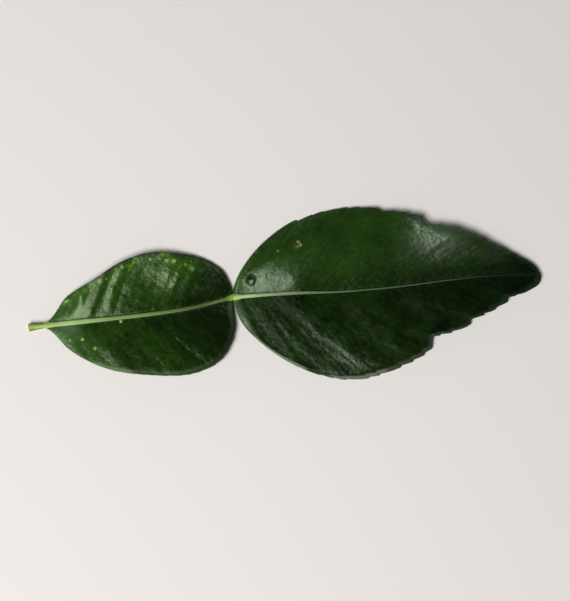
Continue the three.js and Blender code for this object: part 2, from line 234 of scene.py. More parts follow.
BLADE = {
    "rib": Curve([
        (BLADE_X, 2.5, 1.5), (57, 2.3, 1.75), (65, 1.9, 1.8), (76, 1.15, 0.95), (90, 0.95, 0.64),
        (103, 1.3, 0.8), (114, 1.2, 1.0), TIP,
    ]),
    "rib_half_width": along_leaf(
        (BLADE_X, 0.92), (52.5, 0.5), (60, 0.38), (75, 0.24), (100, 0.15), (124, 0.08)
    ),
    "ridge": along_leaf((BLADE_X, 0.6), (53.5, 0.25), (90, 0.16), (108, 0.08), (117, 0.01)),
    "keel": along_leaf((BLADE_X, 0.75), (54, 0.85), (90, 0.75), (104, 0.4), (120, 0.12)),
    "margins": {
        1: Curve([
            (BLADE_X, 3.3, 1.5), (50.9, 6, 1.3), (53.4, 9.8, 1.6), (58.6, 14.9, 0.9), (67, 19.7, 0),
            (80, 21.4, 0.6), (94.5, 18.4, 2.5), (108, 12.7, 2.9), (118, 6.7, 1.7), (123.8, 2.5, 1.2), TIP,
        ]),
        -1: Curve([
            (BLADE_X, 1.7, 1.5), (51.5, -3.8, 1.6), (57.8, -11.3, 1.8), (67, -17.6, 1.0), (78, -20.7, 0),
            (90, -18.4, 0.2), (99, -14.2, 0.5), (109, -8.9, 0.8), (119, -4.4, 1.0), (124.4, -1.7, 1.1), TIP,
        ]),
    },
    "dome": {
        1: along_leaf((BLADE_X, 0), (62, 1.8), (70, 1.8), (80, 0.5), (90, -0.1), (100, -0.5), (120, 0)),
        -1: along_leaf(
            (BLADE_X, 0), (54, 0.2), (60.2, 1.05), (68, 1.8), (76, 2.1), (84, 1.9), (98, 0.9), (112, 0.4),
            (120, 0.1),
        ),
    },
    "crest": {1: 0.47, -1: 0.92},
    "veins": {
        1: [(51, 0), (53.5, 0.05), (60.5, 0.05), (67.5, 0.06), (74.5, 0.05), (81.5, 0.05), (88.5, 0.05),
            (95.5, 0.05), (102.5, 0.04), (109.5, 0.03), (116.5, 0)],
        -1: [(51, 0), (54.2, 0.07), (59.3, 0.23), (68.6, 0.23), (76.4, 0.07), (83, 0.06), (89.6, 0.1),
             (96.5, 0.04), (103.5, 0.04), (110.5, 0.03), (116.5, 0)],
    },
    "fullness": {1: 1.2, -1: 1.3},
    "rib_lead": 0.1,
    "rib_gather": 2.6,
    "waves": [
        (58.3, 4.5, 15, 0.58, 6, 4.5), (64.6, 3.6, 10, 0.17, 3.2, 2.6), (99.5, 12.5, 8, 1.1, 8, 4.3),
        (61.6, -8.4, 35, 0.17, 1.8, 3.5),
    ],
    "scars": [(54.7, 5.95, 0.85, 0.22)],
    "tooth": {"spacing": 4.1, "depth": {1: 0.3, -1: 0.4}, "start": 0.09, "full": 0.6},
    "notches": [
        (1, 67.4, 0.35, 9), (1, 88, 0.4, 5), (1, 98.7, 1.6, 8), (-1, 99, 2.4, 7), (-1, 107.4, 0.6, 5),
        (-1, 117.1, 0.9, 4),
    ],
    "grid": {"rows": 300, "columns": 50, "rib_columns": 7, "edge_columns": 15, "edge_zone": 2.2},
}
print("blade margins, mm:", [round(BLADE["margins"][side].length, 1) for side in SIDES])

# %% [markdown]
# ## Teeth and notches
#
# The margin of this leaf is finely crenate: blunt teeth that lean to the tip. Drawing each tooth would take
# hundreds of points. Instead a tooth is a function of the distance along the margin that says how far the
# edge is pulled in. The teeth grow from `start` to `full`, both shares of the margin, and calm down before
# the tip. A notch, where an insect or a branch damaged the growing edge, is given by its side, the X of its
# steep end, its depth and how far it runs out.

# %% The toothed margin
TOOTH_CREST, TOOTH_FULLNESS, TOOTH_DRIFT, DRIFT_WAVE, TIP_CALM = 0.86, 1.5, 0.22, 0.61, 0.2
NOTCH_STEP, NOTCH_EASE = 0.9, 1.4


def margin_inset(organ, side, share, x):
    tooth = organ["tooth"]
    along = share * organ["margins"][side].length
    growth = smoothstep(share, tooth["start"], tooth["full"]) * smoothstep(1 - share, 0, TIP_CALM)
    within = (along / tooth["spacing"] + TOOTH_DRIFT * np.sin(along * DRIFT_WAVE + side)) % 1
    profile = lerp((1 - within) ** TOOTH_FULLNESS, 1, smoothstep(within, TOOTH_CREST, 1))
    inset = tooth["depth"][side] * growth * profile
    for notch_side, notch_x, depth, reach in organ["notches"]:
        if notch_side == side:
            past = x - notch_x
            cut = smoothstep(past, -NOTCH_STEP * depth, 0)
            inset = inset + depth * cut * np.clip(1 - past / reach, 0, 1) ** NOTCH_EASE
    return inset


def margin_points(organ, side, share):
    curve = organ["margins"][side]
    point, tangent = curve.at(share), curve.tangent(share)
    inset = margin_inset(organ, side, share, point[:, 0]) / np.hypot(tangent[:, 0], tangent[:, 1])
    point[:, 0] += side * tangent[:, 1] * inset
    point[:, 1] -= side * tangent[:, 0] * inset
    point[:, 2] = np.maximum(point[:, 2], 0)
    return point


trial = np.linspace(0, 1, 500)
trial_x = BLADE["margins"][-1].at(trial)[:, 0]
print("deepest notch, mm:", round(margin_inset(BLADE, -1, trial, trial_x).max(), 2))

# %% [markdown]
# ## The lamina as a grid of side veins
#
# A leaf's surface is organised by its side veins: each leaves the midrib and runs to the margin. So the
# mesh is drawn the same way. A row of the grid runs along a side vein and a column keeps its share of the
# way from midrib to margin. Every fold of the real leaf then lies along the mesh, and ridges stay crisp.
# Extra rows beside each vein let it stand up as real geometry, a few tenths of a millimetre wide.

# %% Rows of the grid
RIB_SAMPLES = 4001
VEIN_ROWS = np.array([-0.36, -0.22, -0.1, 0, 0.1, 0.22, 0.36])
LEAST_ROW_GAP = 0.04


def rib_share(organ, share):
    """The share of the midrib at which the row leaves that ends at this share of the margin."""
    return lerp(share ** organ["rib_gather"], share, organ["rib_lead"])


def vein_shares(organ, side):
    """The shares at which the side veins run, from where they leave the midrib."""
    share = np.linspace(0, 1, RIB_SAMPLES)
    rib_x = organ["rib"].at(rib_share(organ, share))[:, 0]
    return np.interp([x for x, _ in organ["veins"][side]], rib_x, share)


def row_shares(organ, last):
    """Even rows, with a close bundle of them along every side vein."""
    length = organ["margins"][-1].length
    veins = np.concatenate([vein_shares(organ, side) for side in SIDES])
    bundles = (veins[:, None] + VEIN_ROWS / length).ravel()
    shares = np.sort(np.concatenate([np.linspace(0, last, organ["grid"]["rows"]), bundles]))
    shares = shares[(shares >= 0) & (shares <= last)]
    keep = np.concatenate([[True], np.diff(shares) > LEAST_ROW_GAP / length])
    shares = shares[keep]
    shares[-1] = last
    return shares


print("rows on the petiole:", len(row_shares(PETIOLE, 1)))

# %% [markdown]
# ## Columns that gather where the surface turns
#
# Three stretches share the columns of a row: over the round midrib, across the open lamina, and round the
# edge, where the lamina rolls down within a millimetre or two. Gloss shows every facet of a rolled edge as
# a false line of light, so the columns are closest there. On the bare stalk there is no lamina at all, and
# the columns spread evenly round it.

# %% Columns of the grid
COLUMN_GATHER = 1.5
STALK_RATIO, LAMINA_RATIO, MOST_BEVEL = 1.2, 4, 0.4
QUARTER_TURN = math.pi / 2


def column_shares(rib_part, reach, grid):
    """Shares of the way from midrib to margin, for each row: on the rib, over the lamina, round the edge."""
    rib_part, reach = rib_part[:, None], reach[:, None]
    columns, rib_columns, edge_columns = grid["columns"], grid["rib_columns"], grid["edge_columns"]
    lamina_columns = columns - rib_columns - edge_columns
    lamina = smoothstep(1 / rib_part, STALK_RATIO, LAMINA_RATIO)
    bevel = 1 - np.minimum(grid["edge_zone"] / reach, MOST_BEVEL)
    i = np.arange(columns + 1)[None, :]
    past_rib = i - rib_columns
    past_lamina = past_rib - lamina_columns
    on_stalk = np.sin(QUARTER_TURN * i / columns)
    on_rib = rib_part * np.sin(QUARTER_TURN * np.clip(i / rib_columns, 0, 1))
    on_lamina = lerp(rib_part, bevel, np.clip(past_rib / lamina_columns, 0, 1) ** COLUMN_GATHER)
    on_edge = lerp(bevel, 1, np.sin(QUARTER_TURN * np.clip(past_lamina / edge_columns, 0, 1)))
    on_leaf = np.where(past_rib <= 0, on_rib, np.where(past_lamina <= 0, on_lamina, on_edge))
    return lerp(on_stalk, on_leaf, lamina)


print("a row 15 mm long:", column_shares(np.array([0.05]), np.array([15.0]), BLADE["grid"])[0, ::10].round(3))

# %% [markdown]
# ## Relief: the arch and the pillows
#
# Two large forms lie on the lamina. The arch carries each half. The quilting swells between the side veins,
# as the softer tissue grows faster than the veins that tie it down. Both could be sculpted, but as
# functions of the place on the leaf they cost a few lines and can be changed at any time.

# %% Arch and quilting
RISE_POWER = 1.35
PILLOW_ROOM = (2, 14)
OUTER_SWELL, PILLOW_CHANCE = 1.2, 0.6
PILLOW_PATCH_ALONG, PILLOW_PATCH_ACROSS, PILLOW_SEED = 0.5, 5, 5.3


def arch(t, crest):
    """Nearly straight up from the midrib to the crest, then round and down to the margin."""
    rising = 1 - np.clip((crest - t) / crest, 0, 1) ** RISE_POWER
    falling = 1 - np.clip((t - crest) / (1 - crest), 0, 1) ** 2
    return np.minimum(rising, falling)


def pillow_height(organ, side, rib_x, reach, t):
    places, heights = np.array(organ["veins"][side], float).T
    i = np.clip(np.searchsorted(places, rib_x, side="right") - 1, 0, len(places) - 2)
    within = np.clip((rib_x - places[i]) / (places[i + 1] - places[i]), 0, 1)
    swell = heights[i] * np.sin(math.pi * within) ** organ["fullness"][side] * smoothstep(reach, *PILLOW_ROOM)
    spread = 1 - (2 * t - 1) ** 4 if side > 0 else np.sin(math.pi * t**OUTER_SWELL)
    uneven = [
        [noise.noise(Vector((x * PILLOW_PATCH_ALONG, PILLOW_PATCH_ACROSS * share, PILLOW_SEED + side)))
         for share in row]
        for x, row in zip(rib_x, t)
    ]
    return swell[:, None] * spread * (1 + PILLOW_CHANCE * np.array(uneven))


print("arch at midrib, crest and margin:", arch(np.array([0, 0.47, 1]), 0.47))

# %% [markdown]
# ## Relief: warps, a scar and slow unevenness
#
# A grown leaf is never quite even. Gentle warps tilt a stretch of the lamina, so that it catches the light
# or loses it. A healed wound is a ring round a pit. Slow waves, a tenth of a millimetre from trough to
# crest, keep the gloss from looking moulded, and Blender's own noise gives the same waves at every run.

# %% Warps, scars and unevenness
SCAR_RING, SCAR_PIT, SCAR_PIT_DEPTH = 0.3, 0.6, 0.6
UNEVENNESS = 0.07
SLOW_WAVES, QUICK_WAVES, QUICK_SHARE = (0.11, 0.15, 3.1), (0.33, 0.4, 8.7), 0.4


def wave_height(organ, side, x, y):
    """Gentle warps: each rises along its own direction, and dies away over its run and breadth."""
    height = np.zeros(x.shape)
    for cx, cy, angle, rise, run, breadth in organ["waves"]:
        if cy * side < 0:
            continue
        c, s = math.cos(math.radians(angle)), math.sin(math.radians(angle))
        u = ((x - cx) * c + (y - cy) * s) / run
        v = ((y - cy) * c - (x - cx) * s) / breadth
        height += rise * u * np.exp(-(u * u + v * v) / 2)
    return height


def scar_height(organ, x, y):
    """Healed wounds: each a raised ring round a shallow pit."""
    height = np.zeros(x.shape)
    for cx, cy, radius, rise in organ["scars"]:
        away = np.hypot(x - cx, y - cy) / radius
        ring = np.exp(-(((away - 1) / SCAR_RING) ** 2))
        pit = np.exp(-((away / SCAR_PIT) ** 2))
        height += rise * (ring - SCAR_PIT_DEPTH * pit)
    return height


def noise_at(x, y, wave):
    across_x, across_y, seed = wave
    return noise.noise(Vector((x * across_x, y * across_y, seed)))


def unevenness(x, y):
    """Slow waves, about 9 and 3 mm long."""
    places = zip(x.ravel(), y.ravel())
    flat = [noise_at(px, py, SLOW_WAVES) + QUICK_SHARE * noise_at(px, py, QUICK_WAVES) for px, py in places]
    return UNEVENNESS * np.array(flat).reshape(x.shape)


trial_x, trial_y = np.meshgrid(np.arange(60.0, 110.0), np.arange(-8.0, 8.0))
print("unevenness, mm:", round(np.ptp(unevenness(trial_x, trial_y)), 3), "from lowest to highest")

# %% [markdown]
# ## Side veins
#
# On the glossy side the veins hardly show, and on the underside they stand out. Each main vein runs the
# whole way and bends forward near the margin. Between every two runs a weaker one that ends well before
# the margin. The mask is 1 on a vein's line and falls off with the distance in millimetres, so that a vein
# keeps its width where the rows of the grid spread apart.

# %% The mask of the veins
VEIN_WIDTH, VEIN_FADE = (0.15, 0.07), 0.2
MINOR_VEIN = {"width": 0.07, "strength": 0.55, "ends": 0.62}
VEIN_BEND, BEND_FROM = 0.5, 0.72


def vein_mask(organ, side, shares, points, t):
    """1 on a side vein's line and falling off beside it, from the distance in millimetres."""
    by_row = np.gradient(points, shares, axis=0)
    by_column = np.gradient(points, axis=1)
    tangent = by_column / np.maximum(np.linalg.norm(by_column, axis=2, keepdims=True), 1e-9)
    pace = np.linalg.norm(np.cross(by_row, tangent), axis=2)
    veins = vein_shares(organ, side)[1:-1]
    bend = VEIN_BEND * np.median(np.diff(veins)) * np.clip((t - BEND_FROM) / (1 - BEND_FROM), 0, 1) ** 2
    main = {"width": lerp(*VEIN_WIDTH, t), "strength": 1, "ends": 1}
    drawn = [(vein, main) for vein in veins] + [(vein, MINOR_VEIN) for vein in (veins[1:] + veins[:-1]) / 2]
    mask = np.zeros(t.shape)
    for vein, kind in drawn:
        away = np.abs(shares[:, None] - vein - bend) * pace
        strength = kind["strength"] * (1 - smoothstep(t, kind["ends"] - VEIN_FADE, kind["ends"]))
        mask = np.maximum(mask, strength * np.exp(-((away / kind["width"]) ** 2)))
    return mask


print("side veins:", {side: len(BLADE["veins"][side]) - 2 for side in SIDES}, "on the blade's halves")

# %% [markdown]
# ## One half of a piece
#
# With the rows, the columns and the relief in hand, one half of a piece is a grid of points on the upper
# side and one on the underside. Each point also remembers what it is part of: how far along and across the
# leaf it lies, whether it is on the midrib, on a vein or near the edge. The materials read these later.

# %% The line of every row
VEIN_BOW, LEAST_SLANT = 0.05, 0.3


def half_lines(organ, side, shares):
    """Every row's start on the midrib, its bowed middle and its end on the margin, and their sizes."""
    rib = organ["rib"].at(rib_share(organ, shares))
    margin = margin_points(organ, side, shares)
    run, rise = margin[:, 0] - rib[:, 0], margin[:, 1] - rib[:, 1]
    reach = np.hypot(run, rise)
    slant = np.maximum(np.abs(rise) / reach, LEAST_SLANT)
    half_width = np.minimum(organ["rib_half_width"](rib[:, 0]) / slant, reach)
    bow = VEIN_BOW * np.maximum(0, reach - half_width)
    middle = (rib + margin) / 2
    middle[:, 0] -= bow * np.abs(rise) / reach
    middle[:, 1] += bow * side * run / reach
    return rib, middle, margin, reach, half_width, slant


print("longest row of the +Y half, mm:", round(half_lines(BLADE, 1, np.linspace(0, 0.9, 50))[3].max(), 1))

# %% The grid of one half
LAMINA_THICKNESS, EDGE_BEVEL = 0.36, 0.4
LAMINA_BEGINS, WARP_EASE, VEIN_EASE = (1.5, 5), 3, 1.2
VEIN_RISE = (0.2, 0.08)
GROOVE_DEPTH, GROOVE_WIDTH = 0.02, 0.3


def half_grid(organ, side, shares):
    rib, middle, margin, reach, half_width, slant = half_lines(organ, side, shares)
    t = column_shares(half_width / reach, reach, organ["grid"])
    u = t[..., None]
    line = (1 - u) ** 2 * rib[:, None] + 2 * u * (1 - u) * middle[:, None] + u**2 * margin[:, None]
    x, y, z = line[..., 0], line[..., 1], line[..., 2]
    across = np.clip(t * (reach / half_width)[:, None], 0, 1)
    on_rib = np.sqrt(1 - across**2)
    off_rib = 1 - on_rib
    lamina = smoothstep(reach, *LAMINA_BEGINS)[:, None] * off_rib
    from_edge = (1 - t) * reach[:, None]
    half = LAMINA_THICKNESS / 2 * np.sqrt(1 - (1 - np.clip(from_edge / EDGE_BEVEL, 0, 1)) ** 2)
    z = z + organ["dome"][side](middle[:, 0])[:, None] * arch(t, organ["crest"][side])
    z = z + pillow_height(organ, side, rib[:, 0], reach, t) * off_rib
    warp = wave_height(organ, side, x, y) + unevenness(x, y)
    z = z + warp * lamina * smoothstep(from_edge, 0, WARP_EASE)
    vein = vein_mask(organ, side, shares, line, t) * lamina * smoothstep(from_edge, 0, VEIN_EASE)
    beside = np.maximum(t * reach[:, None] - half_width[:, None], 0) * slant[:, None]
    groove = GROOVE_DEPTH * np.exp(-((beside / GROOVE_WIDTH) ** 2)) * off_rib * lamina
    top = z + half - groove + scar_height(organ, x, y) + organ["ridge"](rib[:, 0])[:, None] * on_rib
    bottom = z - half - organ["keel"](rib[:, 0])[:, None] * on_rib - lerp(*VEIN_RISE, t) * vein
    facts = {
        "across": side * t,
        "rib": on_rib,
        "vein": vein,
        "edge": from_edge,
        "beside": beside,
        "along": np.broadcast_to(rib[:, :1], t.shape),
        "out": side * t * reach[:, None],
    }
    return line[..., :2], top, np.maximum(bottom, 0), facts


print("what a point remembers:", list(half_grid(BLADE, 1, np.linspace(0, 0.9, 20))[3]))

# %% [markdown]
# ## From four grids to one closed mesh
#
# Upper and lower grids of both halves share their midrib and their margins, so they are laid out as rings:
# out along the underside, back over the top and down the other side. A ring per row and quads between the
# rings make one closed skin. The cut end gets a shallow, slightly ragged dish, as where a stalk was
# snapped off, and the tip closes to a point.

# %% Grids to rings
def ring_order(left, right):
    """One array per ring, from (rows, columns) arrays of (upper, lower) for the +Y and the -Y half."""
    (top_left, bottom_left), (top_right, bottom_right) = left, right
    stretches = [bottom_left[:, :-1], top_left[:, :0:-1], top_right[:, :-1], bottom_right[:, :0:-1]]
    return np.concatenate(stretches, axis=1)


def rings_of(organ, shares):
    """The points of every ring, and what each of them remembers."""
    halves = [half_grid(organ, side, shares) for side in SIDES]
    points = [ring_order(*[(flat[..., k], flat[..., k]) for flat, _, _, _ in halves]) for k in (0, 1)]
    points.append(ring_order(*[(top, bottom) for _, top, bottom, _ in halves]))
    layers = {"upper": ring_order(*[(np.ones_like(top), np.zeros_like(top)) for _, top, _, _ in halves])}
    for name in halves[0][3]:
        layers[name] = ring_order(*[(facts[name], facts[name]) for _, _, _, facts in halves])
    return np.stack(points, axis=-1), layers


# %% The dish of the cut end
DISH_RINGS, RAGGED_PATCH, RAGGEDNESS, RAGGED_SEED = 5, 2.2, 0.6, 1.7


def dish_of(ring, depth):
    """The rings that close an end with a shallow dish, from its middle to the rim, and its middle."""
    centre = ring.mean(axis=0)
    rings = []
    for k in range(DISH_RINGS - 1, 0, -1):
        share = k / DISH_RINGS
        inner = lerp(ring, centre, share)
        ragged = [noise.noise(Vector((y * RAGGED_PATCH, z * RAGGED_PATCH, RAGGED_SEED))) for _, y, z in inner]
        inner[:, 0] += depth * (math.sin(QUARTER_TURN * share) + RAGGEDNESS * share * np.array(ragged))
        rings.append(inner)
    return rings, centre + np.array([depth, 0, 0])


print("rings that close the cut end:", DISH_RINGS - 1)

# %% Rings to mesh
def closed_faces(ring_count, around):
    """Quads between neighbouring rings, and triangles that close both ends round two last vertices."""
    i = np.arange(around)
    j = (i + 1) % around
    base = np.arange(ring_count - 1)[:, None] * around
    quads = np.stack([base + i, base + j, base + around + j, base + around + i], axis=-1).reshape(-1, 4)
    start_middle = ring_count * around
    last_ring = start_middle - around
    neighbours = list(zip(i.tolist(), j.tolist()))
    caps = [(start_middle, b, a) for a, b in neighbours]
    caps += [(start_middle + 1, last_ring + a, last_ring + b) for a, b in neighbours]
    return quads.tolist() + caps


def add_layer(mesh, name, values):
    """Store a number or a vector on every vertex, for the materials to read."""
    values = np.asarray(values, np.float32)
    kind, field = ("FLOAT", "value") if values.ndim == 1 else ("FLOAT_VECTOR", "vector")
    mesh.attributes.new(name, kind, "POINT").data.foreach_set(field, values.ravel())


print("faces of a tube of 3 rings of 4:", len(closed_faces(3, 4)))

# %% [markdown]
# ## The two skins
#
# All that is left is to put the parts together for the petiole and for the blade. Besides the facts of its
# grid a vertex remembers its true place in millimetres, `leaf_mm`, and its place as the veins see it,
# `vein_mm`: how far along the midrib its row starts, and how far out along the row it lies. A texture that
# is stretched in those coordinates runs with the veins.

# %% Build the skins
TIP_GAP = 0.0015


def skin(name, organ, dish, tip=None):
    shares = row_shares(organ, 1 - TIP_GAP if tip else 1)
    points, layers = rings_of(organ, shares)
    start, start_middle = dish_of(points[0], dish)
    rings = [*start, *points]
    around = points.shape[1]
    end_middle = np.array(tip, float) if tip else points[-1].mean(axis=0)
    vertices = np.vstack([*rings, start_middle[None], end_middle[None]])
    faces = closed_faces(len(rings), around)
    mesh = bpy.data.meshes.new(name)
    mesh.from_pydata((vertices * MM + LEAF_ORIGIN).tolist(), [], faces)
    ringed = {}
    for layer, values in layers.items():
        ringed[layer] = np.concatenate([*[values[0]] * len(start), *values, values[0][:1], values[-1][:1]])
    cut = np.zeros(len(vertices))
    cut[: len(start) * around] = 1
    cut[-2] = 1
    ringed["cut"] = cut
    ringed["leaf_mm"] = vertices
    ringed["vein_mm"] = np.stack([ringed["along"], ringed.pop("out"), ringed["upper"]], axis=1)
    for layer, values in ringed.items():
        add_layer(mesh, layer, values)
    mesh.shade_smooth()
    piece = bpy.data.objects.new(name, mesh)
    bpy.context.scene.collection.objects.link(piece)
    print(f"{name}: {len(shares)} rows of {around}, {sum(len(face) - 2 for face in faces)} triangles")
    return piece


petiole = skin("petiole_skin", PETIOLE, dish=0.12)
blade = skin("blade_skin", BLADE, dish=0.01, tip=TIP)

# %% [markdown]
# ## Writing shaders as sums
#
# Node trees are quicker to read as arithmetic. `Value` wraps one output of a node and overloads the signs,
# so `1 - mask * 0.5` adds the Math nodes itself. Colours must not pass through a Math node, which would
# turn them grey, so they have their own `mix`. Every node is made by `Paint.node`.

# %% Numbers that vary over a surface
class Value:
    """One output of a node, as a number that varies over a surface."""

    def __init__(self, paint, socket):
        self.paint, self.socket = paint, socket

    def math(self, operation, other):
        return self.paint.node("ShaderNodeMath", {"operation": operation}, {0: self, 1: other})

    def __add__(self, other):
        return self.math("ADD", other)

    def __mul__(self, other):
        return self.math("MULTIPLY", other)

    def __sub__(self, other):
        return self.math("SUBTRACT", other)

    def __rsub__(self, other):
        return (self * -1) + other

    __radd__, __rmul__ = __add__, __mul__

    def clamp(self):
        return self.paint.node("ShaderNodeClamp", {}, {"Value": self})

    def step(self, low, high):
        """0 below low, 1 above high and smooth between them. With low above high it falls instead."""
        sockets = {"Value": self, "From Min": low, "From Max": high}
        return self.paint.node("ShaderNodeMapRange", {"interpolation_type": "SMOOTHSTEP"}, sockets)


# %% Colours as a screen shows them
def colour(red, green, blue):
    """A colour written as on a screen, 0 to 255, turned into light by the standard curve of screens."""
    levels = [level / 255 for level in (red, green, blue)]
    return (*[v / 12.92 if v < 0.04045 else ((v + 0.055) / 1.055) ** 2.4 for v in levels], 1.0)


print("middle grey of a screen is this much light:", round(colour(128, 128, 128)[0], 3))

# %% The one place where nodes are made
MIX_SHARE, MIX_FIRST, MIX_SECOND, MIX_COLOUR = 0, 6, 7, 2


class Paint:
    """A node tree that is being written."""

    def __init__(self, owner):
        owner.use_nodes = True
        self.tree = owner.node_tree
        self.tree.nodes.clear()

    def node(self, kind, settings, sockets, output=0):
        node = self.tree.nodes.new(kind)
        for name, value in settings.items():
            if name == "stops":
                self.set_stops(node.color_ramp.elements, value)
            else:
                setattr(node, name, value)
        for name, value in sockets.items():
            if isinstance(value, Value):
                self.tree.links.new(value.socket, node.inputs[name])
            else:
                node.inputs[name].default_value = value
        return Value(self, node.outputs[output]) if node.outputs else None

    def set_stops(self, elements, stops):
        """Stops are (place from 0 to 1, colour) in rising order. A new ramp already has the two end ones."""
        for place, _ in stops[1:-1]:
            elements.new(place)
        for element, (place, shade) in zip(elements, stops):
            element.position, element.color = place, shade

    def layer(self, name, output="Fac"):
        return self.node("ShaderNodeAttribute", {"attribute_name": name}, {}, output)

    def mix(self, share, a, b):
        sockets = {MIX_SHARE: share, MIX_FIRST: a, MIX_SECOND: b}
        return self.node("ShaderNodeMix", {"data_type": "RGBA"}, sockets, MIX_COLOUR)

    def noise(self, place, scale, detail, roughness=0.5):
        sockets = {"Vector": place, "Scale": scale, "Detail": detail, "Roughness": roughness}
        return self.node("ShaderNodeTexNoise", {}, sockets)

    def cells(self, place, scale, feature="F1"):
        return self.node("ShaderNodeTexVoronoi", {"feature": feature}, {"Vector": place, "Scale": scale})

    def stretched(self, place, by):
        return self.node("ShaderNodeVectorMath", {"operation": "MULTIPLY"}, {0: place, 1: by})

    def distance(self, place, x, y):
        """Millimetres from a point of the leaf, as seen from above."""
        sockets = {0: self.stretched(place, (1, 1, 0)), 1: (x, y, 0)}
        return self.node("ShaderNodeVectorMath", {"operation": "DISTANCE"}, sockets, "Value")


# %% [markdown]
# ## What the leaf's skin reads
#
# A citrus leaf is dark and glossy above, with a thick wax, and paler and matt below. Between the veins tiny
# oil glands show as pin-prick dimples. Painted images would stretch on so long a piece and blur close up,
# so everything is written from a few noises in the leaf's own millimetres and from what each vertex
# remembers. `brushed` is stretched along the side veins, as the tissue is.

# %% Layers and textures
VERTEX_LAYERS = ("along", "across", "upper", "rib", "vein", "edge", "beside", "cut")
BRUSH = (1.1, 0.3, 1)
CORD_STREAKS = (0.12, 3.0, 3.0)
GLAND_SIZE, NET_LINE, SHADY_ACROSS = (0.26, 0.08), (0.1, 0.0), (0.05, -0.15)


def read_surface(p):
    s = SimpleNamespace(**{name: p.layer(name) for name in VERTEX_LAYERS})
    s.place = p.layer("leaf_mm", "Vector")
    s.blotches = p.noise(s.place, scale=0.16, detail=3, roughness=0.55)
    s.mottle = p.noise(s.place, scale=0.9, detail=3, roughness=0.6)
    s.grain = p.noise(s.place, scale=5, detail=2, roughness=0.6)
    s.pebbles = p.noise(s.place, scale=0.75, detail=1)
    s.brushed = p.noise(p.stretched(p.layer("vein_mm", "Vector"), BRUSH), scale=1, detail=2, roughness=0.55)
    s.streaks = p.noise(p.stretched(s.place, CORD_STREAKS), scale=1.4, detail=2)
    s.glands = p.cells(s.place, scale=1.7).step(*GLAND_SIZE)
    s.net = p.cells(s.place, scale=1.1, feature="DISTANCE_TO_EDGE").step(*NET_LINE)
    s.shady = s.across.step(*SHADY_ACROSS)
    return s


# %% [markdown]
# ## Greens of the upper side
#
# The green runs from a lighter to a darker one in soft blotches, and the +Y half, which faces the light, is
# painted lighter as lit. Towards the tip both pieces darken. The margin is a thin pale line, brighter on the
# -Y side, which faces the light, as a painted highlight. On the +Y side and towards the tip a dark line of
# painted shade lies inside it. The fine groove beside the midrib is painted nearly black as shade, and the
# -Y half, turned away from the light, gets painted shade towards the far end of each piece. Near the +Y
# margin of the wing, and at the blade's foot, lie pale green blobs and painted glints. Mixing one colour
# over the last with a mask is the easiest way to keep so many small effects apart.

# %% Tissue: blotches of sun and shade
NOISE_MEAN, MOTTLE_PART, BRUSHED_PART = 0.5, 0.6, 0.4
BLOTCH_CONTRAST, TONE_DROP = 0.9, 0.25
NET_TINT, GLAND_TINT, VEIN_TINT = 0.03, 0.12, 0.05


def tissue(p, s, look):
    # Painted light: the +Y half faces the lamp, so it is painted a lighter green here, as lit.
    painted_lit_side = s.across.step(*look["lit_side_across"]) * s.along.step(*look["lit_side_along"])
    patchy = (s.mottle * MOTTLE_PART + s.brushed * BRUSHED_PART - NOISE_MEAN) * look["patchy"]
    tone = (s.blotches * BLOTCH_CONTRAST + patchy + painted_lit_side * look["lit_side_lean"] - TONE_DROP).clamp()
    green = p.mix(tone, look["shade"], look["sun"])
    return p.mix(s.net * NET_TINT + s.glands * GLAND_TINT + s.vein * VEIN_TINT, green, look["vein"])


# %% Painted highlight and shade along the margin and the midrib, in millimetres from them
EDGE_LINE, EDGE_LIGHT, LOWER_SIDE, LOWER_EDGE_HIGHLIGHT = (0.3, 0.06), 0.15, (0.2, -0.2), 0.5
UPPER_SIDE, RIM_SHADE = (0, 0.3), 0.8
RIB_SHADE_LINE, RIB_SHADE_DARK = (0.4, 0.05), 0.8


def painted_rims_and_rib_shade(p, s, look, green):
    # A pale line at the margin. On the -Y side, which faces the light, it is brightened as a painted
    # highlight.
    pale_edge_and_highlight = s.edge.step(*EDGE_LINE) * (EDGE_LIGHT + s.across.step(*LOWER_SIDE) * LOWER_EDGE_HIGHLIGHT)
    green = p.mix(pale_edge_and_highlight, green, look["edge"])
    # Painted shade: a dark line inside the margin on the +Y side and towards the tip, where the edge turns
    # from the light.
    rim = (s.across.step(*UPPER_SIDE) + s.along.step(*look["shaded_rim_along"])).clamp()
    green = p.mix(s.edge.step(*look["shaded_rim_width"]) * rim * RIM_SHADE, green, look["groove"])
    # Painted shade: a nearly black line in the groove beside the midrib.
    return p.mix(s.beside.step(*RIB_SHADE_LINE) * RIB_SHADE_DARK, green, look["groove"])


# %% Pale spots and painted glints near the outer edge, painted shade on the -Y half, and dusk towards the tip
OUTER_PART = (0.55, 0.82)
BLOB_SCALE, BLOB_RAGGED, BLOB_SIZE, BLOB_STRENGTH = 0.45, 0.9, (0.9, 0.5), 0.7
SPECK_SCALE, SPECK_RAGGED, SPECK_GRAIN, SPECK_SIZE, SPECK_STRENGTH = 0.6, 0.3, 0.15, (0.42, 0.28), 0.5
DUSK, GLOOM = 0.65, 0.5


